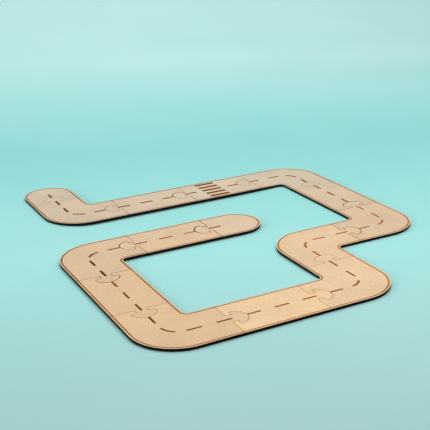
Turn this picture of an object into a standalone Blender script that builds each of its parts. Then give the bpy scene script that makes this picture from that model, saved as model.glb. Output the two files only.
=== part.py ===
"""Jigsaw road track: fifteen laser-cut 3 mm fibreboard plates that lock together
with one tab and one socket each, laid end to end as one winding road.

The road is drawn on a 30 mm module.  A plate is walked from its socket end to its
tab end; its tab drops into the socket of the next plate.  Units are metres, +Z is
up, the underside of every plate is z = 0, and the origin is the centre of the
laid track's rectangle, on the surface that it lies on.
"""

import math

import bmesh
import bpy
from mathutils import Matrix, Vector

# ------------------------------------------------------------------ driving dimensions
MM = 0.001
MODULE = 30.0 * MM                      # half the road's width, and the layout grid
THICKNESS = 3.0 * MM                    # fibreboard sheet
HALF_WIDTH = MODULE                     # road is 60 mm wide
STRAIGHT_LENGTH = 3.0 * MODULE          # joint line to joint line
CORNER_LEG = 2.0 * MODULE               # joint line to the crossing of the centrelines
CAP_LEG = 1.0 * MODULE                  # joint line to the centre of the round end
CORNER_OUTER_RADIUS = 46.0 * MM
CORNER_INNER_RADIUS = 6.0 * MM

# jigsaw tab, measured from the joint line
NECK_HALF_WIDTH = 6.0 * MM
NECK_LENGTH = 6.0 * MM
HEAD_RADIUS = 12.6 * MM                 # half disc centred at the end of the neck
SHOULDER_RADIUS = 2.4 * MM
NECK_FILLET = 1.0 * MM
UNDERCUT = 3.0                          # degrees, underside of the head
MOUTH_FILLET = 2.0 * MM

# laser engraving in the top face
ENGRAVING_DEPTH = 0.3 * MM
DASH_LENGTH = 15.2 * MM
DASH_WIDTH = 2.3 * MM
DASH_START = 17.8 * MM                  # from a joint line to the first dash
DASH_PITCH = 30.0 * MM
LANE_CORNER_RADIUS = 18.0 * MM          # centreline of the lane through a corner
CORNER_DASH_START = 44.5 * MM           # along the lane from the socket's joint line
EDGE_LINE_INSET = 2.1 * MM              # plate edge to the middle of the line
EDGE_LINE_WIDTH = 1.3 * MM
ZEBRA_BARS = 5
ZEBRA_BAR_WIDTH = 4.2 * MM
ZEBRA_BAR_PITCH = 11.2 * MM
ZEBRA_BAR_LENGTH = 25.2 * MM
ZEBRA_CENTRE = 55.7 * MM                # along the lane from the socket's joint line

# arc divisions
HEAD_SEGMENTS = 12
SHOULDER_SEGMENTS = 3
FILLET_SEGMENTS = 2
OUTER_SEGMENTS = 10
INNER_SEGMENTS = 4
CAP_SEGMENTS = 18
DASH_SEGMENTS = 3

# ------------------------------------------------------------------ how the track is laid
# name, shape, then how its tab lies in the next plate's socket: the clearance round
# the tab and at the joint line, and the tab plate's shift (x, y), all in mm.  The
# list runs along the road, each plate's tab pointing at the plate below it.
TIGHT = (0.30, 0.30, 0.0, 0.0)
PLATES = (
    ("end_cap_tab",        "cap_tab",    (0.75, 0.35, 0.25, -0.35)),
    ("straight_1",         "straight",   (0.55, 0.30, 0.00, -0.25)),
    ("corner_left_1",      "left",       (0.45, 0.30, 0.00, 0.15)),
    ("straight_2",         "straight",   TIGHT),
    ("corner_left_2",      "left",       TIGHT),
    ("straight_3",         "straight",   TIGHT),
    ("corner_left_3",      "left",       TIGHT),
    ("corner_right_1",     "right",      (0.45, 0.30, -0.15, 0.0)),
    ("corner_left_4",      "left",       (0.50, 0.30, 0.00, -0.20)),
    ("straight_4",         "straight",   TIGHT),
    ("corner_left_5",      "left",       (0.40, 0.30, 0.00, -0.10)),
    ("crossing_straight",  "crossing",   (0.65, 0.30, 0.15, -0.30)),
    ("straight_5",         "straight",   (0.40, 0.30, 0.00, -0.10)),
    ("corner_right_2",     "right",      TIGHT),
    ("end_cap_socket",     "cap_socket", None),
)


# ------------------------------------------------------------------ outlines
def arc(cx, cy, radius, start, end, segments):
    """Points on an arc, angles in degrees, both ends included."""
    points = []
    for i in range(segments + 1):
        a = math.radians(start + (end - start) * i / segments)
        points.append((cx + radius * math.cos(a), cy + radius * math.sin(a)))
    return points


def jigsaw(clearance, line):
    """The jigsaw profile on a joint line at y = 0, head towards +Y, from its +X side
    to its -X side.  With no clearance it is the tab; with one it is the socket,
    whose mouth starts at y = line.  The head's underside hooks back by UNDERCUT."""
    neck = NECK_HALF_WIDTH + clearance
    mouth = max(MOUTH_FILLET - clearance, 0.25 * MM)
    fillet = max(NECK_FILLET - clearance, 0.25 * MM)
    shoulder = (math.sqrt((HEAD_RADIUS - SHOULDER_RADIUS) ** 2 - SHOULDER_RADIUS ** 2),
                NECK_LENGTH + SHOULDER_RADIUS)
    meet = math.degrees(math.atan2(SHOULDER_RADIUS, shoulder[0]))
    # the neck fillet's centre, so that one line touches it and the shoulder's arc
    slope = math.tan(math.radians(UNDERCUT))
    fillet_x = NECK_HALF_WIDTH + NECK_FILLET
    fillet_y = (shoulder[1] + (shoulder[0] - fillet_x) * slope
                - (SHOULDER_RADIUS + NECK_FILLET) / math.cos(math.radians(UNDERCUT)))
    half = arc(neck + mouth, line + mouth, mouth, -90, -180, FILLET_SEGMENTS)
    half += arc(neck + fillet, fillet_y, fillet, 180, 90 - UNDERCUT, FILLET_SEGMENTS)
    half += arc(shoulder[0], shoulder[1], SHOULDER_RADIUS + clearance,
                -90 - UNDERCUT, meet, SHOULDER_SEGMENTS)
    head = arc(0.0, NECK_LENGTH, HEAD_RADIUS + clearance, meet, 180 - meet, HEAD_SEGMENTS)
    other = [(-x, y) for x, y in reversed(half)]
    return half + head[1:-1] + other


def turned(points, angle, x=0.0, y=0.0):
    """Points turned by an angle in degrees, then moved."""
    c, s = math.cos(math.radians(angle)), math.sin(math.radians(angle))
    return [(x + c * px - s * py, y + s * px + c * py) for px, py in points]


def mirrored(points):
    """Points mirrored in x, with the order reversed so that the turn stays the same."""
    return [(-x, y) for x, y in reversed(points)]


def socket_edge(clearance, line, y):
    """A plate's socket end, left to right, on the joint line y."""
    cut = [(px, py + y) for px, py in reversed(jigsaw(clearance, line))]
    return [(-HALF_WIDTH, y + line)] + cut + [(HALF_WIDTH, y + line)]


def tab_edge(y):
    """A plate's tab end, right to left, on the joint line y."""
    return [(HALF_WIDTH, y)] + [(px, py + y) for px, py in jigsaw(0.0, 0.0)] + [(-HALF_WIDTH, y)]


def outline(shape, clearance, line):
    """A plate's outline, anticlockwise, about its own reference point."""
    h = HALF_WIDTH
    if shape in ("straight", "crossing"):
        return (socket_edge(clearance, line, -STRAIGHT_LENGTH / 2)
                + tab_edge(STRAIGHT_LENGTH / 2))
    if shape == "cap_tab":
        return tab_edge(CAP_LEG) + arc(0, 0, h, 180, 360, CAP_SEGMENTS)
    if shape == "cap_socket":
        return socket_edge(clearance, line, -CAP_LEG) + arc(0, 0, h, 0, 180, CAP_SEGMENTS)
    outer, inner = CORNER_OUTER_RADIUS, CORNER_INNER_RADIUS
    left = (socket_edge(clearance, line, -CORNER_LEG)
            + arc(h - outer, h - outer, outer, 0, 90, OUTER_SEGMENTS)
            + turned(tab_edge(0.0), 90, -CORNER_LEG, 0.0)
            + arc(-h - inner, -h - inner, inner, 90, 0, INNER_SEGMENTS))
    return left if shape == "left" else mirrored(left)


# ------------------------------------------------------------------ engraving
def box(x0, y0, x1, y1):
    return [(x0, y0), (x1, y0), (x1, y1), (x0, y1)]


def dash(start, y0):
    """A centre dash on the lane x = 0, a distance start from the joint line y0."""
    return box(-DASH_WIDTH / 2, y0 + start, DASH_WIDTH / 2, y0 + start + DASH_LENGTH)


def band(path):
    """The strip between a path's two offsets; path(inset) gives the points."""
    near = EDGE_LINE_INSET - EDGE_LINE_WIDTH / 2
    far = EDGE_LINE_INSET + EDGE_LINE_WIDTH / 2
    return path(near) + list(reversed(path(far)))


def engraving(shape):
    """The outlines engraved in a plate's top face, about its reference point."""
    h, over = HALF_WIDTH, 1.0 * MM       # a line runs out past the joint line
    third = DASH_START + 2 * DASH_PITCH
    if shape in ("straight", "crossing"):
        y0, y1 = -STRAIGHT_LENGTH / 2, STRAIGHT_LENGTH / 2
        marks = [dash(DASH_START, y0), dash(third, y0)]
        if shape == "straight":
            marks.append(dash(DASH_START + DASH_PITCH, y0))
        else:
            middle = y0 + ZEBRA_CENTRE
            for i in range(ZEBRA_BARS):
                x = (i - (ZEBRA_BARS - 1) / 2) * ZEBRA_BAR_PITCH
                marks.append(box(x - ZEBRA_BAR_WIDTH / 2, middle - ZEBRA_BAR_LENGTH / 2,
                                 x + ZEBRA_BAR_WIDTH / 2, middle + ZEBRA_BAR_LENGTH / 2))
        side = band(lambda e: [(h - e, y0 - over), (h - e, y1 + over)])
        return marks + [side, mirrored(side)]
    if shape == "cap_tab":
        rim = band(lambda e: [(-h + e, CAP_LEG + over)]
                   + arc(0, 0, h - e, 180, 360, CAP_SEGMENTS) + [(h - e, CAP_LEG + over)])
        return [dash(DASH_START - DASH_PITCH, CAP_LEG), rim]
    if shape == "cap_socket":
        rim = band(lambda e: [(h - e, -CAP_LEG - over)]
                   + arc(0, 0, h - e, 0, 180, CAP_SEGMENTS) + [(-h + e, -CAP_LEG - over)])
        return [dash(DASH_START, -CAP_LEG), rim]
    # left corner: socket leg up the y axis, tab leg along -x
    leg, lane = CORNER_LEG, LANE_CORNER_RADIUS
    outer, inner = CORNER_OUTER_RADIUS, CORNER_INNER_RADIUS
    marks = [dash(DASH_START, -leg)]
    a0 = math.degrees((CORNER_DASH_START - (leg - lane)) / lane)
    a1 = a0 + math.degrees(DASH_LENGTH / lane)
    marks.append(arc(-lane, -lane, lane + DASH_WIDTH / 2, a0, a1, DASH_SEGMENTS)
                 + arc(-lane, -lane, lane - DASH_WIDTH / 2, a1, a0, DASH_SEGMENTS))
    for start in (DASH_START, DASH_START + DASH_PITCH):
        marks.append(turned(dash(start, 0.0), 90))
    marks.append(band(lambda e: [(h - e, -leg - over)]
                      + arc(h - outer, h - outer, outer - e, 0, 90, OUTER_SEGMENTS)
                      + [(-leg - over, h - e)]))
    marks.append(band(lambda e: [(-leg - over, -h + e)]
                      + arc(-h - inner, -h - inner, inner + e, 90, 0, INNER_SEGMENTS)
                      + [(-h + e, -leg - over)]))
    return marks if shape == "left" else [mirrored(m) for m in marks]


# ------------------------------------------------------------------ layout along the road
def lay_plates():
    """Reference point and heading of every plate, in metres and degrees."""
    placed = []
    x, y, heading = 0.0, 0.0, 180.0      # the first joint line, walked towards -X
    for name, shape, _ in PLATES:
        dx, dy = math.cos(math.radians(heading)), math.sin(math.radians(heading))
        if shape == "cap_tab":
            placed.append([name, shape, x - CAP_LEG * dx, y - CAP_LEG * dy, heading])
            continue
        reach = {"straight": STRAIGHT_LENGTH / 2, "crossing": STRAIGHT_LENGTH / 2,
                 "cap_socket": CAP_LEG}.get(shape, CORNER_LEG)
        cx, cy = x + reach * dx, y + reach * dy
        placed.append([name, shape, cx, cy, heading])
        if shape in ("left", "right"):
            heading += 90.0 if shape == "left" else -90.0
            dx, dy = math.cos(math.radians(heading)), math.sin(math.radians(heading))
        x, y = cx + reach * dx, cy + reach * dy
    # the plates' play, added up from the far end of the road
    sx = sy = 0.0
    for i in range(len(placed) - 2, -1, -1):
        sx += PLATES[i][2][2] * MM
        sy += PLATES[i][2][3] * MM
        placed[i][2] += sx
        placed[i][3] += sy
    return placed


def plate_outlines(placed):
    """Each plate's outline about its own reference point, its socket cut to suit the
    tab of the plate before it."""
    shapes = []
    for i, (name, shape, cx, cy, heading) in enumerate(placed):
        fit = PLATES[i - 1][2] if i else TIGHT
        shapes.append(outline(shape, fit[0] * MM, fit[1] * MM))
    return shapes


# ------------------------------------------------------------------ Blender objects
def flat_solid(name, splines, half_height):
    """A closed mesh from flat outlines: a filled 2D curve, extruded, caps welded."""
    curve = bpy.data.curves.new(name + "_outline", "CURVE")
    curve.dimensions = "2D"
    curve.fill_mode = "BOTH"
    curve.extrude = half_height
    for points in splines:
        spline = curve.splines.new("POLY")
        spline.points.add(len(points) - 1)
        for point, (x, y) in zip(spline.points, points):
            point.co = (x, y, 0.0, 1.0)
        spline.use_cyclic_u = True
    drawn = bpy.data.objects.new(name + "_outline", curve)
    bpy.context.scene.collection.objects.link(drawn)
    bpy.context.view_layer.update()
    evaluated = drawn.evaluated_get(bpy.context.evaluated_depsgraph_get())
    mesh = bpy.data.meshes.new_from_object(evaluated)
    mesh.name = name
    bm = bmesh.new()
    bm.from_mesh(mesh)
    bmesh.ops.remove_doubles(bm, verts=bm.verts, dist=0.00002)
    bmesh.ops.recalc_face_normals(bm, faces=bm.faces)
    bm.to_mesh(mesh)
    bm.free()
    bpy.data.objects.remove(drawn, do_unlink=True)
    bpy.data.curves.remove(curve)
    return mesh


def fibreboard(name, warmth):
    """Pale fibreboard, a little warmer or greyer from plate to plate."""
    material = bpy.data.materials.new(name + "_board")
    material.use_nodes = True
    shader = material.node_tree.nodes["Principled BSDF"]
    shader.inputs["Base Color"].default_value = (
        0.70 + 0.05 * warmth, 0.52 + 0.02 * warmth, 0.35 - 0.03 * warmth, 1.0)
    shader.inputs["Roughness"].default_value = 0.72
    shader.inputs["Metallic"].default_value = 0.0
    material.diffuse_color = shader.inputs["Base Color"].default_value
    return material


def main():
    for old in list(bpy.data.objects):
        bpy.data.objects.remove(old, do_unlink=True)
    scene = bpy.context.scene
    parts = bpy.data.collections.new("jigsaw_road_track")
    cutters = bpy.data.collections.new("engraving_cutters")
    scene.collection.children.link(parts)
    scene.collection.children.link(cutters)

    placed = lay_plates()
    outlines = plate_outlines(placed)
    world = []
    for (_, _, cx, cy, heading), points in zip(placed, outlines):
        world += turned(points, heading - 90.0, cx, cy)
    mid_x = (min(p[0] for p in world) + max(p[0] for p in world)) / 2
    mid_y = (min(p[1] for p in world) + max(p[1] for p in world)) / 2

    track = bpy.data.objects.new("track", None)
    track.empty_display_size = MODULE
    parts.objects.link(track)

    count = len(placed)
    for i, ((name, shape, cx, cy, heading), points) in enumerate(zip(placed, outlines)):
        plate = bpy.data.objects.new(name, flat_solid(name, [points], THICKNESS / 2))
        parts.objects.link(plate)
        plate.parent = track
        plate.location = (cx - mid_x, cy - mid_y, THICKNESS / 2)
        plate.rotation_euler = (0.0, 0.0, math.radians(heading - 90.0))

        cutter = bpy.data.objects.new(
            name + "_engraving", flat_solid(name + "_engraving", engraving(shape),
                                            ENGRAVING_DEPTH))
        cutters.objects.link(cutter)
        cutter.parent = plate
        cutter.location = (0.0, 0.0, THICKNESS / 2)
        cutter.hide_render = True
        cutter.display_type = "WIRE"

        cut = plate.modifiers.new("engraving", "BOOLEAN")
        cut.operation = "DIFFERENCE"
        cut.solver = "EXACT"
        cut.object = cutter

        plate.data.shade_smooth()
        plate.data.set_sharp_from_angle(angle=math.radians(30.0))
        plate.data.materials.append(fibreboard(name, 1.0 - 2.0 * abs(i / (count - 1) - 0.5)))
    bpy.context.view_layer.update()


main()
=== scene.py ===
"""Looks of the jigsaw road track: fifteen laser-cut fibreboard plates, engraved and
scorched, on a pale sweep.  Each plate's surface is built here around its CAD node:
the same outline with a finer arc, a rounded arris, engraved line and dash grooves,
a charred cut edge and a smoke-stained underside.

Outlines are worked in millimetres about each plate's own reference point, as in the
CAD source, and put in place from the CAD node's box.
"""
import math

import bpy
import numpy as np
from mathutils import Matrix, Vector
from mathutils.geometry import delaunay_2d_cdt


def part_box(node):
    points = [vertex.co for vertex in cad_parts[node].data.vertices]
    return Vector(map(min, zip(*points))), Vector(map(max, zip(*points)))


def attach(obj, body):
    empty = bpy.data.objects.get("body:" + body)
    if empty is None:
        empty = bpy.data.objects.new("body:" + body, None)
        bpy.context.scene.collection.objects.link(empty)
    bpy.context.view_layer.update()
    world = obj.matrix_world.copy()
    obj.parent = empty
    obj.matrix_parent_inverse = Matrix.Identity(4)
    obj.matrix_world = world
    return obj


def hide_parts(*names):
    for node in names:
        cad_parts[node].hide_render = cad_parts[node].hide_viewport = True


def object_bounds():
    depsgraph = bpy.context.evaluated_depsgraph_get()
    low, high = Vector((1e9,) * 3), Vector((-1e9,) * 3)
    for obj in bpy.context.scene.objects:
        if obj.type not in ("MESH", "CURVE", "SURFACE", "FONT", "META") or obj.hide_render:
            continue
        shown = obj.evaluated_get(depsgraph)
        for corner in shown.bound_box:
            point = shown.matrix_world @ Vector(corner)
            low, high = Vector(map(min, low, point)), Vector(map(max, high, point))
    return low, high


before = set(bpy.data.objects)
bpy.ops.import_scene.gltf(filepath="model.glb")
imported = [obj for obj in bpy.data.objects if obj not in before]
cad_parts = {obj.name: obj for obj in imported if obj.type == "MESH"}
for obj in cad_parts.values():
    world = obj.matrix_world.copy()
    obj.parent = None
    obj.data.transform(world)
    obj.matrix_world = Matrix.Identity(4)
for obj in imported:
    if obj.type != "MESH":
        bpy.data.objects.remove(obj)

cad_low, cad_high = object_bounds()
MM = 0.001

# ------------------------------------------------------------------ dimensions, mm
THICK = 3.0
HALF = 30.0
LENGTH = 90.0
LEG = 60.0
CAP = 30.0
OUTER, INNER = 46.0, 6.0
NECK_HALF, NECK_LENGTH, HEAD, SHOULDER, FILLET, MOUTH, UNDERCUT = 6.0, 6.0, 12.6, 2.4, 1.0, 2.0, 3.0
DASH_LENGTH, DASH_HALF, DASH_START, DASH_PITCH = 15.2, 1.15, 17.8, 30.0
LANE, CORNER_DASH = 18.0, 44.5
LINE_INSET, LINE_HALF = 2.1, 0.65
BARS, BAR_HALF, BAR_PITCH, BAR_LENGTH, BAR_CENTRE = 5, 2.1, 11.2, 25.2, 55.7

GROOVE = 0.25                    # depth of the edge lines
POCKET = 0.30                    # depth of the dashes and bars
SNUG = 0.11                      # how far the swollen board closes each joint edge

RIM = (0.0, 0.03, 0.07, 0.13, 0.30, 0.80)            # insets of the rings round the edge
RIM_DROP = (0.13, 0.05, 0.015, 0.0, 0.0, 0.0)        # how far the arris falls at each
LINE_RINGS = (-1.2, -0.9, -0.71, -0.55, -0.3, 0.0, 0.3, 0.55, 0.71, 0.9, 1.2)
DASH_RINGS = (-0.7, -0.22, -0.1, 0.04, 0.25, 0.6, 1.2)
UNDER_RIM = (0.0, 0.04, 0.12, 0.5)
UNDER_DROP = (0.10, 0.03, 0.0, 0.0)

# name: shape, turn about z in degrees, socket's clearance and joint gap
TIGHT = (0.30, 0.30)
PLATES = {
    "end_cap_tab": ("cap_tab", 90, None),
    "straight_1": ("straight", 90, (0.75, 0.35)),
    "corner_left_1": ("left", 90, (0.55, 0.30)),
    "straight_2": ("straight", 180, (0.45, 0.30)),
    "corner_left_2": ("left", 180, TIGHT),
    "straight_3": ("straight", -90, TIGHT),
    "corner_left_3": ("left", -90, TIGHT),
    "corner_right_1": ("right", 0, TIGHT),
    "corner_left_4": ("left", -90, (0.45, 0.30)),
    "straight_4": ("straight", 0, (0.50, 0.30)),
    "corner_left_5": ("left", 0, TIGHT),
    "crossing_straight": ("crossing", 90, (0.40, 0.30)),
    "straight_5": ("straight", 90, (0.65, 0.30)),
    "corner_right_2": ("right", 90, (0.40, 0.30)),
    "end_cap_socket": ("cap_socket", 0, TIGHT),
}


# ------------------------------------------------------------------ outlines
def arc(cx, cy, radius, start, end, n):
    a = np.radians(np.linspace(start, end, n + 1))
    return [(cx + radius * c, cy + radius * s) for c, s in zip(np.cos(a), np.sin(a))]


def jigsaw(clearance, line):
    """The jigsaw profile on a joint line at y = 0, from its +X side to its -X side."""
    neck = NECK_HALF + clearance
    mouth = max(MOUTH - clearance, 0.25)
    fillet = max(FILLET - clearance, 0.25)
    sx = math.sqrt((HEAD - SHOULDER) ** 2 - SHOULDER ** 2)
    sy = NECK_LENGTH + SHOULDER
    meet = math.degrees(math.atan2(SHOULDER, sx))
    fx = NECK_HALF + FILLET
    fy = (sy + (sx - fx) * math.tan(math.radians(UNDERCUT))
          - (SHOULDER + FILLET) / math.cos(math.radians(UNDERCUT)))
    lean = math.radians(UNDERCUT)
    beyond = clearance + fillet - FILLET     # past where a concentric fillet vanishes
    fy -= beyond * (math.tan(lean) + 1 / math.cos(lean))
    half = arc(neck + mouth, line + mouth, mouth, -90, -180, 6)
    half += arc(neck + fillet, fy, fillet, 180, 90 - UNDERCUT, 6)
    half += arc(sx, sy, SHOULDER + clearance, -90 - UNDERCUT, meet, 9)
    head = arc(0.0, NECK_LENGTH, HEAD + clearance, meet, 180 - meet, 40)
    return half + head[1:-1] + [(-x, y) for x, y in reversed(half)]


def turned(points, angle, x=0.0, y=0.0):
    c, s = math.cos(math.radians(angle)), math.sin(math.radians(angle))
    return [(x + c * px - s * py, y + s * px + c * py) for px, py in points]


def mirrored(points):
    return [(-x, y) for x, y in reversed(points)]


def socket_edge(fit, e, y, snug=SNUG):
    if fit[0] > 0.3:                 # a loose joint stays open on the socket's side
        snug = 0.0
    gap = fit[1] + e - snug
    cut = [(px, py + y) for px, py in reversed(jigsaw(fit[0] + e - snug, gap))]
    return [(-HALF + e, y + gap)] + cut + [(HALF - e, y + gap)]


def tab_edge(e, y, snug=SNUG):
    d = snug - e
    return [(HALF - e, y + d)] + [(px, py + y) for px, py in jigsaw(d, d)] + [(-HALF + e, y + d)]


def outline(shape, fit, e, snug=SNUG):
    """A plate's outline, anticlockwise, drawn in by e."""
    r = HALF - e
    if shape in ("straight", "crossing"):
        return socket_edge(fit, e, -LENGTH / 2, snug) + tab_edge(e, LENGTH / 2, snug)
    if shape == "cap_tab":
        return tab_edge(e, CAP, snug) + arc(0, 0, r, 180, 360, 60)
    if shape == "cap_socket":
        return socket_edge(fit, e, -CAP, snug) + arc(0, 0, r, 0, 180, 60)
    left = (socket_edge(fit, e, -LEG, snug)
            + arc(HALF - OUTER, HALF - OUTER, OUTER - e, 0, 90, 36)
            + turned(tab_edge(e, 0.0, snug), 90, -LEG, 0.0)
            + arc(-HALF - INNER, -HALF - INNER, INNER + e, 90, 0, 12))
    return left if shape == "left" else mirrored(left)


def joint_edges(shape, fit):
    """The parts of a plate's outline that meet its neighbours."""
    if shape in ("straight", "crossing"):
        return [socket_edge(fit, 0.0, -LENGTH / 2), tab_edge(0.0, LENGTH / 2)]
    if shape == "cap_tab":
        return [tab_edge(0.0, CAP)]
    if shape == "cap_socket":
        return [socket_edge(fit, 0.0, -CAP)]
    edges = [socket_edge(fit, 0.0, -LEG), turned(tab_edge(0.0, 0.0), 90, -LEG, 0.0)]
    return edges if shape == "left" else [mirrored(p) for p in edges]


def line_path(shape, side, inset):
    """One of a plate's two edge lines at an inset, run out past the joint lines.  A
    round end has one line, on side 0."""
    r, over = HALF - inset, 1.0
    if shape in ("straight", "crossing"):
        x = r if side == 0 else -r
        return [(x, -LENGTH / 2 - over), (x, LENGTH / 2 + over)]
    if shape in ("cap_tab", "cap_socket"):
        if side:
            return []
        s = 1 if shape == "cap_tab" else -1
        bend = arc(0, 0, r, 180, 360, 60) if s > 0 else arc(0, 0, r, 0, 180, 60)
        return [(-r * s, s * (CAP + over))] + bend + [(r * s, s * (CAP + over))]
    if side == 0:
        path = ([(r, -LEG - over)] + arc(HALF - OUTER, HALF - OUTER, OUTER - inset, 0, 90, 36)
                + [(-LEG - over, r)])
    else:
        path = ([(-LEG - over, -r)] + arc(-HALF - INNER, -HALF - INNER, INNER + inset, 90, 0, 12)
                + [(-r, -LEG - over)])
    return path if shape == "left" else mirrored(path)


# Marks: a rectangle is ("box", centre x, centre y, half x, half y); the bent dash of a
# corner is ("bend", centre x, centre y, radius, half width, middle angle, half angle).
def marks_of(shape):
    def dash(start, y0):
        return ("box", 0.0, y0 + start + DASH_LENGTH / 2, DASH_HALF, DASH_LENGTH / 2)

    last = DASH_START + 2 * DASH_PITCH
    if shape == "straight":
        return [dash(DASH_START + i * DASH_PITCH, -LENGTH / 2) for i in range(3)]
    if shape == "crossing":
        bars = [("box", (i - (BARS - 1) / 2) * BAR_PITCH, -LENGTH / 2 + BAR_CENTRE,
                 BAR_HALF, BAR_LENGTH / 2) for i in range(BARS)]
        return [dash(DASH_START, -LENGTH / 2), dash(last, -LENGTH / 2)] + bars
    if shape == "cap_tab":
        return [dash(DASH_START - DASH_PITCH, CAP)]
    if shape == "cap_socket":
        return [dash(DASH_START, -CAP)]
    a0 = (CORNER_DASH - (LEG - LANE)) / LANE
    half = DASH_LENGTH / LANE / 2
    marks = [dash(DASH_START, -LEG), ("bend", -LANE, -LANE, LANE, DASH_HALF, a0 + half, half)]
    for start in (DASH_START, DASH_START + DASH_PITCH):
        marks.append(("box", -(start + DASH_LENGTH / 2), 0.0, DASH_LENGTH / 2, DASH_HALF))
    if shape == "left":
        return marks
    out = []
    for m in marks:
        if m[0] == "box":
            out.append(("box", -m[1]) + m[2:])
        else:
            out.append(("bend", -m[1], m[2], m[3], m[4], math.pi - m[5], m[6]))
    return out


def mark_ring(mark, m):
    """A closed ring m outside a mark's border."""
    if mark[0] == "box":
        _, cx, cy, hx, hy = mark
        hx, hy = hx + m, hy + m
        return [(cx - hx, cy - hy), (cx + hx, cy - hy), (cx + hx, cy + hy), (cx - hx, cy + hy)]
    _, cx, cy, r, w, mid, half = mark
    a = math.degrees(half + m / r)
    mid = math.degrees(mid)
    return (arc(cx, cy, r + w + m, mid - a, mid + a, 10)
            + arc(cx, cy, r - w - m, mid + a, mid - a, 10))


def mark_distance(mark, p):
    """How far outside a mark's border each point is; negative inside."""
    if mark[0] == "box":
        _, cx, cy, hx, hy = mark
        return np.maximum(np.abs(p[:, 0] - cx) - hx, np.abs(p[:, 1] - cy) - hy)
    _, cx, cy, r, w, mid, half = mark
    dx, dy = p[:, 0] - cx, p[:, 1] - cy
    turn = (np.arctan2(dy, dx) - mid + math.pi) % (2 * math.pi) - math.pi
    return np.maximum(np.abs(np.hypot(dx, dy) - r) - w, (np.abs(turn) - half) * r)


def distance_to(path, p, closed):
    """Distance from each point to a polyline."""
    a = np.array(path, float)
    b = np.roll(a, -1, 0) if closed else a[1:]
    a = a if closed else a[:-1]
    best = np.full(len(p), 1e9)
    for s, t in zip(a, b):
        d = t - s
        n = d @ d
        u = np.clip(((p - s) @ d) / n, 0, 1) if n > 1e-18 else np.zeros(len(p))
        best = np.minimum(best, np.hypot(*(p - s - u[:, None] * d).T))
    return best


def inside(path, p):
    a = np.array(path, float)
    b = np.roll(a, -1, 0)
    odd = np.zeros(len(p), bool)
    for (x0, y0), (x1, y1) in zip(a, b):
        if y0 == y1:
            continue
        cross = (p[:, 1] < y0) != (p[:, 1] < y1)
        odd ^= cross & (p[:, 0] < x0 + (p[:, 1] - y0) * (x1 - x0) / (y1 - y0))
    return odd


def smooth(t):
    t = np.clip(t, 0, 1)
    return t * t * (3 - 2 * t)


# ------------------------------------------------------------------ plate meshes
def triangulate(loops, paths, dots):
    """Triangles of the region inside the first loop, with every loop and path as edges."""
    points, edges = [], []
    for loop in loops:
        k = len(points)
        points += loop
        edges += [(k + i, k + (i + 1) % len(loop)) for i in range(len(loop))]
    for path in paths:
        k = len(points)
        points += path
        edges += [(k + i, k + i + 1) for i in range(len(path) - 1)]
    points += dots
    made = delaunay_2d_cdt([Vector(p) for p in points], edges,
                           [list(range(len(loops[0])))], 0, 1e-5, True)
    verts = np.array([tuple(v) for v in made[0]], float)
    faces = np.array([tuple(f) for f, source in zip(made[2], made[5]) if source], int)
    d1 = verts[faces[:, 1]] - verts[faces[:, 0]]
    d2 = verts[faces[:, 2]] - verts[faces[:, 0]]
    area = d1[:, 0] * d2[:, 1] - d1[:, 1] * d2[:, 0]
    faces[area < 0] = faces[area < 0][:, ::-1]
    used = np.unique(faces)
    renumber = np.full(len(verts), -1)
    renumber[used] = np.arange(len(used))
    return verts[used], renumber[faces]


def border_loop(faces):
    """The border's vertices in order, anticlockwise."""
    sides = set()
    for a, b, c in faces.tolist():
        sides.update(((a, b), (b, c), (c, a)))
    onward = {a: b for a, b in sides if (b, a) not in sides}
    start = next(iter(onward))
    loop, at = [start], onward[start]
    while at != start:
        loop.append(at)
        at = onward[at]
    if len(loop) != len(onward):
        raise RuntimeError("a plate's border isn't one loop")
    return loop


def grid_dots(border, step, keep):
    """Points on a triangular grid at least keep inside a border."""
    b = np.array(border)
    lo, hi = b.min(0), b.max(0)
    out = []
    for j, y in enumerate(np.arange(lo[1] + step, hi[1], step * 0.866)):
        for x in np.arange(lo[0] + step * (0.5 + 0.5 * (j % 2)), hi[0], step):
            out.append((x, y))
    p = np.array(out)
    ok = inside(border, p) & (distance_to(border, p, True) > keep)
    return p[ok]


# smoke left on the top face: centre in the row frame (mm), reach, strength
SMOKE = ((-7.5, -199.8, 3.8, 0.75), (-4.0, -199.0, 6.0, 0.3), (2.0, -204.0, 4.5, 0.2))

# how hot the laser ran: each mark in turn, then the edge lines (0 usual, 1 darkest)
HEAT = {
    "end_cap_tab": ((0.35,), 0.3),
    "straight_1": ((0.1, 0.3, 0.35), 0.25),
    "corner_left_1": ((0.7, 0.8, 1.0, 1.0), 0.7),
    "straight_2": ((0.3, 0.45, 0.5), 0.25),
    "corner_left_2": ((0.55, 0.4, 0.35, 0.4), 0.2),
    "straight_3": ((0.0, 0.0, 0.05), 0.0),
    "corner_left_3": ((0.0, 0.15, 0.2, 0.3), 0.1),
    "corner_right_1": ((0.1, 0.2, 0.2, 0.25), 0.15),
    "corner_left_4": ((0.0, 0.0, 0.0, 0.0), 0.15),
    "straight_4": ((0.35, 0.45, 0.5), 0.3),
    "corner_left_5": ((0.75, 0.6, 0.55, 0.55), 0.45),
    "crossing_straight": ((0.4, 0.4) + (0.6,) * 5, 0.45),
    "straight_5": ((0.4, 0.65, 0.65), 0.45),
    "corner_right_2": ((0.9, 0.9, 1.0, 0.9), 0.5),
    "end_cap_socket": ((0.9,), 0.4),
}


def hair_segments(name):
    """The faint scored line along the lane, between the tab leg's two dashes."""
    if name not in ("corner_left_2", "corner_right_1"):
        return []
    s = -1 if name == "corner_left_2" else 1
    a = DASH_START + DASH_LENGTH + 0.2
    b = DASH_START + DASH_PITCH - 0.2
    return [((s * a, 0.0), (s * b, 0.0))]


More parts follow.
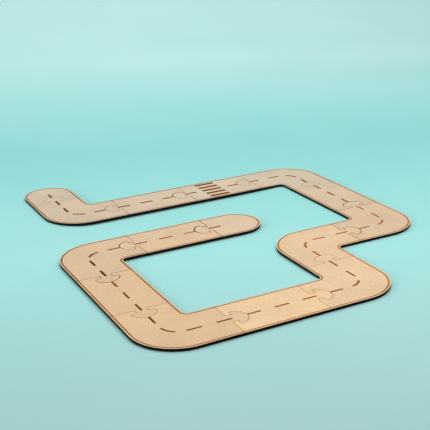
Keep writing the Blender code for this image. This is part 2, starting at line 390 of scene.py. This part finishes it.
def plate_mesh(name):
    shape, turn, fit = PLATES[name]
    border = outline(shape, fit, 0.0)

    # where the plate's reference point is, from the CAD node's box
    low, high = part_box(name)
    spun = np.array(turned(outline(shape, fit, 0.0, 0.0), turn))
    at = (np.array([low.x + high.x, low.y + high.y]) / MM - spun.min(0) - spun.max(0)) / 2

    rings = [outline(shape, fit, e) for e in RIM]
    lines = [line_path(shape, s, LINE_INSET + o) for s in (0, 1) for o in LINE_RINGS]
    lines = [p for p in lines if p]
    centres = [p for p in (line_path(shape, s, LINE_INSET) for s in (0, 1)) if p]
    marks = marks_of(shape)
    loops = [mark_ring(m, o) for m in marks for o in DASH_RINGS]
    hairs = hair_segments(name)
    hair_paths = [[(a[0], o), (b[0], o)] for a, b in hairs for o in (-0.3, -0.09, 0.09, 0.3)]

    dots = grid_dots(border, 4.0, 1.2)
    near = np.full(len(dots), 1e9)
    for c in centres:
        near = np.minimum(near, distance_to(c, dots, False) - 1.3)
    for m in marks:
        near = np.minimum(near, mark_distance(m, dots) - 1.3)
    dots = [tuple(p) for p in dots[near > 0.3]]
    top, top_faces = triangulate(rings + loops, lines + hair_paths, dots)

    edge = distance_to(border, top, True)
    loop = border_loop(top_faces)
    edge[loop] = 0.0
    line = np.full(len(top), 1e9)
    for c in centres:
        line = np.minimum(line, distance_to(c, top, False))
    line -= LINE_HALF
    mark = np.full(len(top), 1e9)
    heats, line_heat = HEAT[name]
    heat = np.full(len(top), line_heat)
    for m, h in zip(marks, heats, strict=True):
        d = mark_distance(m, top)
        mark = np.minimum(mark, d)
        heat[d < 1.25] = h
    seam = np.full(len(top), 1e9)
    for path in joint_edges(shape, fit):
        seam = np.minimum(seam, distance_to(path, top, False))
    seam = np.clip((1.2 - seam) / 0.4, 0, 1)
    z = THICK - np.interp(edge, RIM, RIM_DROP)
    z -= GROOVE * smooth((0.05 - line) / 0.2)
    z -= POCKET * smooth((0.04 - mark) / 0.14) * (line > 0.5)
    hair = np.zeros(len(top))
    for a, b in hairs:
        along = (top[:, 0] >= min(a[0], b[0]) - 1e-4) & (top[:, 0] <= max(a[0], b[0]) + 1e-4)
        hair = np.maximum(hair, along * np.clip((0.3 - np.abs(top[:, 1])) / 0.21, 0, 1))

    # underside, on the same border
    ring = [tuple(top[i]) for i in loop]
    under_dots = [tuple(p) for p in grid_dots(border, 3.5, 0.9)]
    low_v, low_f = triangulate([ring] + [outline(shape, fit, e) for e in UNDER_RIM[1:]],
                               [], under_dots)
    low_loop = border_loop(low_f)
    if len(low_loop) != len(loop):
        raise RuntimeError(name + ": the two faces' borders differ")
    low_edge = distance_to(border, low_v, True)
    low_edge[low_loop] = 0.0
    low_z = np.interp(low_edge, UNDER_RIM, UNDER_DROP)
    first = int(np.argmin(np.hypot(*(low_v[low_loop] - top[loop[0]]).T)))
    low_loop = low_loop[first:] + low_loop[:first]

    n = len(top)
    levels = (2.8, 2.2, 0.8)
    verts = [np.c_[top, z]]
    faces = [tuple(f) for f in top_faces.tolist()]
    wall, k = [list(loop)], n
    for h in levels:
        verts.append(np.c_[top[loop], np.full(len(loop), h)])
        wall.append(list(range(k, k + len(loop))))
        k += len(loop)
    verts.append(np.c_[low_v, low_z])
    faces += [(k + c, k + b, k + a) for a, b, c in low_f.tolist()]
    wall.append([k + i for i in low_loop])
    m = len(loop)
    for upper, lower in zip(wall, wall[1:]):
        for i in range(m):
            j = (i + 1) % m
            faces.append((upper[i], lower[i], lower[j], upper[j]))
    verts = np.vstack(verts)
    total = len(verts)

    # what the finish needs, point by point
    def point(value_top, value_wall, value_under):
        out = np.full(total, float(value_wall))
        out[:n] = value_top
        out[k:] = value_under
        return out

    char_free = np.interp(edge, (0, 0.03, 0.07, 0.13, 0.3), (1.0, 0.35, 0.1, 0.0, 0.0))
    char_seam = np.interp(edge, (0, 0.13, 0.3), (1.0, 0.8, 0.0))
    char = point(char_free + (char_seam - char_free) * seam, 1.0,
                 np.interp(low_edge, (0, 0.04, 0.12), (1.0, 0.6, 0.0)))
    near_edge = point(np.clip(edge, 0, 0.8), 0.0, np.clip(low_edge, 0, 0.8))
    placed = np.array(turned([tuple(p) for p in verts[:, :2]], turn, at[0], at[1]))
    smoke = np.zeros(total)
    for x, y, reach, strength in SMOKE:
        smoke += strength * np.exp(-((placed[:, 0] - x) ** 2 + (placed[:, 1] - y) ** 2) / reach ** 2)
    smoke[n:] = 0.0
    under = point(0.0, 0.0, 0.25 + 0.75 * np.exp(-low_edge / 1.6))
    attributes = {
        "char": char,
        "rim": near_edge,
        "line": point(np.clip(line, -0.6, 0.6), 0.6, 0.6),
        "mark": point(np.clip(mark, -1.0, 1.2), 1.2, 1.2),
        "hair": point(hair, 0.0, 0.0),
        "smoke": np.clip(smoke, 0, 1),
        "burn": point(heat, 0.0, 0.0),
        "seam": point(seam, 0.0, 0.0),
        "under": under,
    }
    verts[:, :2] = placed
    verts *= MM
    verts[:, 2] += low.z

    mesh = bpy.data.meshes.new(name + "_board")
    mesh.from_pydata(verts.tolist(), [], faces)
    mesh.validate()
    mesh.update()
    for key, values in attributes.items():
        layer = mesh.attributes.new(key, "FLOAT", "POINT")
        layer.data.foreach_set("value", values.astype(np.float32))
    mesh.shade_smooth()
    mesh.set_sharp_from_angle(angle=math.radians(34.0))
    return mesh


# ------------------------------------------------------------------ finish
def srgb(r, g, b):
    out = []
    for v in (r, g, b):
        v /= 255.0
        out.append(v / 12.92 if v <= 0.04045 else ((v + 0.055) / 1.055) ** 2.4)
    return (*out, 1.0)


class Graph:
    """Short calls for a material's nodes."""

    def __init__(self, material):
        material.use_nodes = True
        self.tree = material.node_tree
        self.shader = self.tree.nodes["Principled BSDF"]
        self.coords = self.tree.nodes.new("ShaderNodeTexCoord").outputs["Object"]

    def put(self, socket, value):
        if isinstance(value, bpy.types.NodeSocket):
            self.tree.links.new(value, socket)
        else:
            socket.default_value = value

    def attribute(self, name):
        node = self.tree.nodes.new("ShaderNodeAttribute")
        node.attribute_name = name
        return node.outputs["Fac"]

    def stretched(self, scale):
        node = self.tree.nodes.new("ShaderNodeMapping")
        self.put(node.inputs["Vector"], self.coords)
        node.inputs["Scale"].default_value = scale
        return node.outputs["Vector"]

    def noise(self, scale, detail=2.0, rough=0.5, vector=None, warp=0.0):
        node = self.tree.nodes.new("ShaderNodeTexNoise")
        self.put(node.inputs["Vector"], vector or self.coords)
        node.inputs["Scale"].default_value = scale
        node.inputs["Detail"].default_value = detail
        node.inputs["Roughness"].default_value = rough
        node.inputs["Distortion"].default_value = warp
        return node.outputs["Fac"]

    def math(self, op, a, b=0.0, c=0.0, clamp=False):
        node = self.tree.nodes.new("ShaderNodeMath")
        node.operation = op
        node.use_clamp = clamp
        for socket, value in zip(node.inputs, (a, b, c)):
            self.put(socket, value)
        return node.outputs["Value"]

    def span(self, value, lo, hi, out_lo=0.0, out_hi=1.0, kind="LINEAR"):
        node = self.tree.nodes.new("ShaderNodeMapRange")
        node.interpolation_type = kind
        self.put(node.inputs["Value"], value)
        for key, v in (("From Min", lo), ("From Max", hi), ("To Min", out_lo), ("To Max", out_hi)):
            self.put(node.inputs[key], v)
        return node.outputs["Result"]

    def mix(self, share, a, b):
        node = self.tree.nodes.new("ShaderNodeMix")
        node.data_type = "RGBA"
        self.put(node.inputs[0], share)
        self.put(node.inputs[6], a)
        self.put(node.inputs[7], b)
        return node.outputs[2]

    def ramp(self, value, stops):
        node = self.tree.nodes.new("ShaderNodeValToRGB")
        self.put(node.inputs["Fac"], value)
        stop = node.color_ramp.elements
        while len(stop) < len(stops):
            stop.new(0.5)
        for element, (where, colour) in zip(stop, stops):
            element.position = where
            element.color = colour
        return node.outputs["Color"]

    def bump(self, height, strength, distance, normal=None):
        node = self.tree.nodes.new("ShaderNodeBump")
        self.put(node.inputs["Height"], height)
        node.inputs["Strength"].default_value = strength
        node.inputs["Distance"].default_value = distance
        if normal is not None:
            self.put(node.inputs["Normal"], normal)
        return node.outputs["Normal"]


def scaled(colour, k):
    return (*(min(1.0, c * k) for c in colour[:3]), 1.0)


def fibreboard(name, tint, scorch, shift):
    """Fibreboard with its laser work: tint is the bare board, carrying each plate's painted light from its tone,
    scorch how strong the brown halo round the engraving is, and shift slides the pattern for this plate."""
    material = bpy.data.materials.new(name + "_fibreboard")
    g = Graph(material)
    move = g.tree.nodes.new("ShaderNodeMapping")
    g.put(move.inputs["Vector"], g.coords)
    move.inputs["Location"].default_value = (shift, shift * 0.37, shift * 0.11)
    g.coords = move.outputs["Vector"]

    # bare board: cloudy tone, fibre speckle, dark and pale specks
    cloud = g.noise(24.0, 2.0, 0.5)
    speck = g.noise(620.0, 3.0, 0.62)
    fine = g.noise(2400.0, 2.0, 0.6)
    tone = g.math("MULTIPLY_ADD", g.math("SUBTRACT", speck, 0.5), 1.5, 0.5)
    tone = g.math("MULTIPLY_ADD", g.math("SUBTRACT", cloud, 0.5), 0.7, tone)
    tone = g.math("MULTIPLY_ADD", g.math("SUBTRACT", fine, 0.5), 0.6, tone, clamp=True)
    board = g.ramp(tone, ((0.0, scaled(tint, 0.76)), (0.38, scaled(tint, 0.95)),
                          (0.62, scaled(tint, 1.04)), (1.0, scaled(tint, 1.18))))
    fibre = g.noise(900.0, 1.0, 0.5, vector=g.stretched((1.0, 0.32, 1.0)), warp=1.2)
    dark_fleck = g.span(fibre, 0.66, 0.74, kind="SMOOTHSTEP")
    board = g.mix(g.math("MULTIPLY", dark_fleck, 0.34), board, scaled(tint, 0.55))
    pale_fleck = g.span(g.noise(1300.0, 1.0, 0.5, warp=0.8), 0.68, 0.76, kind="SMOOTHSTEP")
    board = g.mix(g.math("MULTIPLY", pale_fleck, 0.3), board, scaled(tint, 1.3))

    # laser engraving, its scorched halo and the smoke by the cut
    patch = g.noise(140.0, 2.0, 0.6)
    weave = g.noise(520.0, 2.0, 0.6)
    depth = g.math("MULTIPLY_ADD", g.math("SUBTRACT", weave, 0.5), 1.3, patch)
    usual = g.ramp(depth, ((0.28, srgb(142, 74, 8)), (0.62, srgb(174, 100, 16)),
                           (0.9, srgb(198, 128, 44))))
    darkest = g.ramp(depth, ((0.28, srgb(50, 20, 3)), (0.62, srgb(84, 41, 6)),
                             (0.9, srgb(112, 64, 20))))
    burnt = g.mix(g.attribute("burn"), usual, darkest)
    line, mark = g.attribute("line"), g.attribute("mark")
    ragged = g.math("MULTIPLY", g.math("SUBTRACT", fine, 0.5), 0.35)
    line_r = g.math("ADD", line, ragged)
    mark_r = g.math("ADD", mark, ragged)
    if scorch > 1.0:                 # the hotter the pass, the further its brown spreads
        mark_r = g.math("SUBTRACT", mark_r, 0.15 * (scorch - 1.0))
    in_line = g.span(line_r, 0.10, -0.10, kind="SMOOTHSTEP")
    in_mark = g.span(mark_r, 0.10, -0.10, kind="SMOOTHSTEP")
    engraved = g.math("MAXIMUM", in_line, in_mark)
    halo = g.math("MAXIMUM", g.span(line_r, 0.55, 0.0), g.span(mark_r, 0.9, 0.0))
    burn = g.attribute("burn")
    halo = g.math("MULTIPLY", g.math("POWER", halo, 1.6), g.span(patch, 0.3, 0.7, 0.2, 0.55))
    halo = g.math("MULTIPLY", halo, g.math("MULTIPLY_ADD", burn, 0.9 * scorch, scorch), clamp=True)
    rim = g.attribute("rim")
    soot = g.math("POWER", g.span(g.math("ADD", rim, ragged), 0.5, 0.0), 1.8)
    soot = g.math("MULTIPLY", soot, g.span(g.noise(60.0, 2.0, 0.6), 0.35, 0.65, 0.0, 0.15))
    colour = g.mix(g.math("MAXIMUM", halo, soot), board,
                   g.mix(burn, srgb(190, 126, 56), srgb(146, 88, 32)))
    colour = g.mix(engraved, colour, burnt)
    colour = g.mix(g.math("MULTIPLY", g.attribute("hair"), 0.4), colour, srgb(186, 146, 82))
    smoke = g.math("MULTIPLY", g.attribute("smoke"), g.span(patch, 0.25, 0.7, 0.35, 0.75))
    colour = g.mix(smoke, colour, srgb(198, 148, 84))

    # underside: smoke that crept along the laser bed
    under = g.attribute("under")
    stain = g.math("MULTIPLY", under, g.span(g.noise(38.0, 3.0, 0.65), 0.34, 0.66, 0.1, 1.0))
    colour = g.mix(g.math("MULTIPLY", stain, 0.8), colour, srgb(120, 80, 46))

    # cut edge: char with the beam's upright striations
    stripes = g.noise(1500.0, 2.0, 0.6, vector=g.stretched((1.0, 1.0, 0.03)))
    broad = g.noise(260.0, 2.0, 0.6, vector=g.stretched((1.0, 1.0, 0.12)))
    streak = g.math("MULTIPLY_ADD", g.math("SUBTRACT", broad, 0.5), 0.8, stripes)
    char = g.ramp(streak, ((0.30, srgb(4, 4, 5)), (0.55, srgb(12, 11, 12)),
                           (0.74, srgb(27, 24, 23)), (0.9, srgb(66, 50, 38))))
    char = g.mix(g.math("MULTIPLY", g.attribute("seam"), 0.95), char, srgb(156, 94, 34))
    charred = g.math("MULTIPLY_ADD", g.math("SUBTRACT", speck, 0.5), 0.5, g.attribute("char"))
    charred = g.span(charred, 0.18, 0.62, kind="SMOOTHSTEP")
    colour = g.mix(charred, colour, char)
    g.put(g.shader.inputs["Base Color"], colour)

    dark = g.math("MAXIMUM", engraved, charred)
    rough = g.span(speck, 0.3, 0.7, 0.5, 0.66)
    g.put(g.shader.inputs["Roughness"],
          g.math("MULTIPLY_ADD", dark, 0.22, rough, clamp=True))
    sheen = g.math("MULTIPLY_ADD", engraved, -0.36, 0.36)
    g.put(g.shader.inputs["Specular IOR Level"], g.span(charred, 0.0, 1.0, sheen, 0.16))
    g.shader.inputs["Metallic"].default_value = 0.0

    fuzz = g.math("MULTIPLY_ADD", fine, 0.6, speck)
    raster = g.math("MULTIPLY", engraved, g.noise(1800.0, 2.0, 0.7))
    ridge = g.math("MULTIPLY", charred, stripes)
    normal = g.bump(fuzz, 0.25, 0.00012)
    normal = g.bump(raster, 0.5, 0.00012, normal)
    normal = g.bump(ridge, 0.6, 0.00016, normal)
    g.put(g.shader.inputs["Normal"], normal)
    return material


BOARD = srgb(221, 193, 155)
BOARD_TONE_AND_PAINTED_LIGHT = {   # each plate's board tone by channel: partly the boards' own differences and partly painted light, lighter and warmer at the front right and darker and greyer at the back, standing in for the light falling off across the track
    "end_cap_socket": (0.78, 0.80, 0.95),
    "corner_right_2": (0.83, 0.82, 0.93),
    "straight_5": (0.86, 0.84, 0.96),
    "crossing_straight": (0.85, 0.87, 1.01),
    "corner_left_5": (0.80, 0.82, 0.96),
    "straight_4": (0.86, 0.84, 0.92),
    "corner_left_4": (0.90, 0.84, 0.86),
    "corner_right_1": (1.00, 0.90, 0.86),
    "corner_left_3": (1.08, 0.98, 0.95),
    "straight_3": (1.14, 1.01, 0.93),
    "corner_left_2": (1.00, 0.87, 0.80),
    "straight_2": (0.99, 0.86, 0.79),
    "corner_left_1": (0.93, 0.83, 0.82),
    "straight_1": (0.96, 0.87, 0.86),
    "end_cap_tab": (0.94, 0.89, 0.97),
}

SCORCH = {"straight_4": 1.4, "corner_left_5": 1.6, "crossing_straight": 2.4, "straight_5": 2.2,
          "corner_right_2": 1.2, "end_cap_tab": 1.8, "straight_1": 1.25, "straight_2": 0.6, "corner_left_2": 0.8,
          "straight_3": 0.8, "corner_left_3": 0.8, "corner_right_1": 0.8, "corner_left_4": 0.7}

for i, name in enumerate(PLATES):
    tint = (*(min(1.0, c * k) for c, k in zip(BOARD, BOARD_TONE_AND_PAINTED_LIGHT[name])), 1.0)
    board = bpy.data.objects.new(name + "_board", plate_mesh(name))
    bpy.context.scene.collection.objects.link(board)
    board.data.materials.append(fibreboard(name, tint, SCORCH.get(name, 1.0), 0.173 * i))
    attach(board, name)
    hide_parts(name)


# ------------------------------------------------------------------ camera
camera_data = bpy.data.cameras.new("camera")
camera = bpy.data.objects.new("camera", camera_data)
bpy.context.scene.collection.objects.link(camera)
right = Vector((0.88521, -0.46421, -0.03020)).normalized()
look = Vector((0.42653, 0.83584, -0.34561)).normalized()
up = right.cross(look).normalized()
right = look.cross(up).normalized()
place = Vector((-0.44838, -0.86214, 0.37364))
camera.matrix_world = Matrix((
    (right.x, up.x, -look.x, place.x),
    (right.y, up.y, -look.y, place.y),
    (right.z, up.z, -look.z, place.z),
    (0.0, 0.0, 0.0, 1.0)))
camera_data.sensor_width = 36.0
camera_data.lens = 76.92
camera_data.clip_start = 0.01
camera_data.clip_end = 20.0
bpy.context.scene.camera = camera

# ------------------------------------------------------------------ sweep and light
ahead = Vector((look.x, look.y, 0.0)).normalized()
across = Vector((-ahead.y, ahead.x, 0.0))
foot = Vector((place.x, place.y, cad_low.z - 0.00005))


def sag(p):
    """How far the paper lies under the track's flat underside: it isn't dead flat, and
    under the rear and left plates it falls away a little."""
    rear = (ease((p.y + 0.08) / 0.08) * ease((0.14 - p.x) / 0.06)
            * (1.0 - ease((-0.11 - p.x) / 0.06) * ease((p.y - 0.06) / 0.04)))
    side = ease((-0.15 - p.x) / 0.04) * ease((p.y + 0.23) / 0.05) * ease((0.08 - p.y) / 0.06)
    nook = (ease((0.09 - p.x) / 0.04) * ease((p.x + 0.06) / 0.05)
            * ease((p.y + 0.19) / 0.05) * ease((-0.04 - p.y) / 0.04))
    return max(0.0011 * rear, 0.0009 * side, 0.0008 * nook)


def ease(t):
    t = min(max(t, 0.0), 1.0)
    return t * t * (3 - 2 * t)


def sweep():
    """A pale paper sweep: flat under the track, then curling up well behind it."""
    fold, radius, steps = 2.15, 0.8, 24
    profile = [(-5.0, 0.0), (-2.5, 0.0), (-1.0, 0.0), (0.0, 0.0), (0.4, 0.0)]
    profile += [(0.5 + 0.02 * i, 0.0) for i in range(46)] + [(1.6, 0.0), (1.9, 0.0)]
    for i in range(steps + 1):
        a = math.radians(88.0) * i / steps
        profile.append((fold + radius * math.sin(a), radius * (1 - math.cos(a))))
    profile.append((profile[-1][0] + 0.03, 2.2))
    wide = [-5.0, -3.4, -2.2, -1.4, -0.9, -0.6] + [-0.44 + 0.02 * i for i in range(45)]
    wide += [0.6, 0.9, 1.4, 2.2, 3.4, 5.0]
    verts = []
    for s, h in profile:
        for w in wide:
            p = foot + ahead * s + across * w
            verts.append((p.x, p.y, p.z + h - sag(p) * (h == 0.0)))
    n = len(wide)
    faces = [(j * n + i, j * n + i + 1, (j + 1) * n + i + 1, (j + 1) * n + i)
             for j in range(len(profile) - 1) for i in range(n - 1)]
    mesh = bpy.data.meshes.new("paper_sweep")
    mesh.from_pydata(verts, [], [f[::-1] for f in faces])
    mesh.update()
    mesh.shade_smooth()
    return bpy.data.objects.new("paper_sweep", mesh)


floor = sweep()
bpy.context.scene.collection.objects.link(floor)

paper = bpy.data.materials.new("pale_paper")
g = Graph(paper)
# painted light and shade: the paper's tone is graded by metres from the camera's foot, standing in for the light
# falling off across the sweep; listed as metres from the camera's foot, and the tone there
PAPER_PAINTED_FALLOFF = (
    (0.50, (0.37, 0.58, 0.58)),
    (0.90, (0.33, 0.70, 0.68)),
    (1.30, (0.22, 0.57, 0.56)),
    (2.00, (0.40, 0.64, 0.62)),
    (3.20, (0.37, 0.57, 0.57)),
)
parts = g.tree.nodes.new("ShaderNodeSeparateXYZ")
g.put(parts.inputs[0], g.coords)
depth = g.math("MULTIPLY_ADD", parts.outputs["X"], ahead.x,
               g.math("MULTIPLY", parts.outputs["Y"], ahead.y))
depth = g.math("SUBTRACT", depth, foot.dot(ahead))
near, far = PAPER_PAINTED_FALLOFF[0][0], PAPER_PAINTED_FALLOFF[-1][0]
shade = g.ramp(g.span(depth, near, far),
               [((d - near) / (far - near), (*tone, 1.0)) for d, tone in PAPER_PAINTED_FALLOFF])
tooth = g.noise(900.0, 3.0, 0.6)
mottle = g.noise(4.0, 2.0, 0.5, vector=g.stretched((1.0, 0.8, 1.0)), warp=0.6)
lift = g.math("MULTIPLY_ADD", g.math("SUBTRACT", mottle, 0.5), 0.12,
              g.math("MULTIPLY", g.math("SUBTRACT", tooth, 0.5), 0.06))
g.put(g.shader.inputs["Base Color"],
      g.mix(g.math("ADD", lift, 0.04), shade, (1.0, 1.0, 1.0, 1.0)))
g.shader.inputs["Roughness"].default_value = 0.7
g.shader.inputs["Specular IOR Level"].default_value = 0.15
g.put(g.shader.inputs["Normal"], g.bump(tooth, 0.1, 0.0001))
floor.data.materials.append(paper)


def soft_light(name, where, aim, size, power, colour=(1.0, 1.0, 1.0)):
    data = bpy.data.lights.new(name, "AREA")
    data.shape = "RECTANGLE"
    data.size, data.size_y = size
    data.energy = power
    data.color = colour
    light = bpy.data.objects.new(name, data)
    light.location = where
    light.rotation_mode = "QUATERNION"
    light.rotation_quaternion = (Vector(aim) - Vector(where)).to_track_quat("-Z", "Y")
    light.visible_camera = False
    bpy.context.scene.collection.objects.link(light)
    return light


soft_light("overhead", (0.32, -0.28, 1.05), (0.12, -0.14, 0.0), (0.9, 0.9), 5.0, (1.0, 0.95, 0.91))
soft_light("left", (-2.6, 0.7, 0.84), (0.0, 0.0, 0.0), (2.0, 1.0), 33.2)
soft_light("far", (0.62, 1.3, 1.6), (0.62, 1.2, 0.0), (2.4, 1.6), 28.2)

world = bpy.data.worlds.new("soft_room")
world.use_nodes = True
world.node_tree.nodes["Background"].inputs["Color"].default_value = (0.92, 1.0, 1.0, 1.0)
world.node_tree.nodes["Background"].inputs["Strength"].default_value = 0.40
bpy.context.scene.world = world
bpy.context.scene.view_settings.view_transform = "Standard"
bpy.context.scene.view_settings.look = "None"
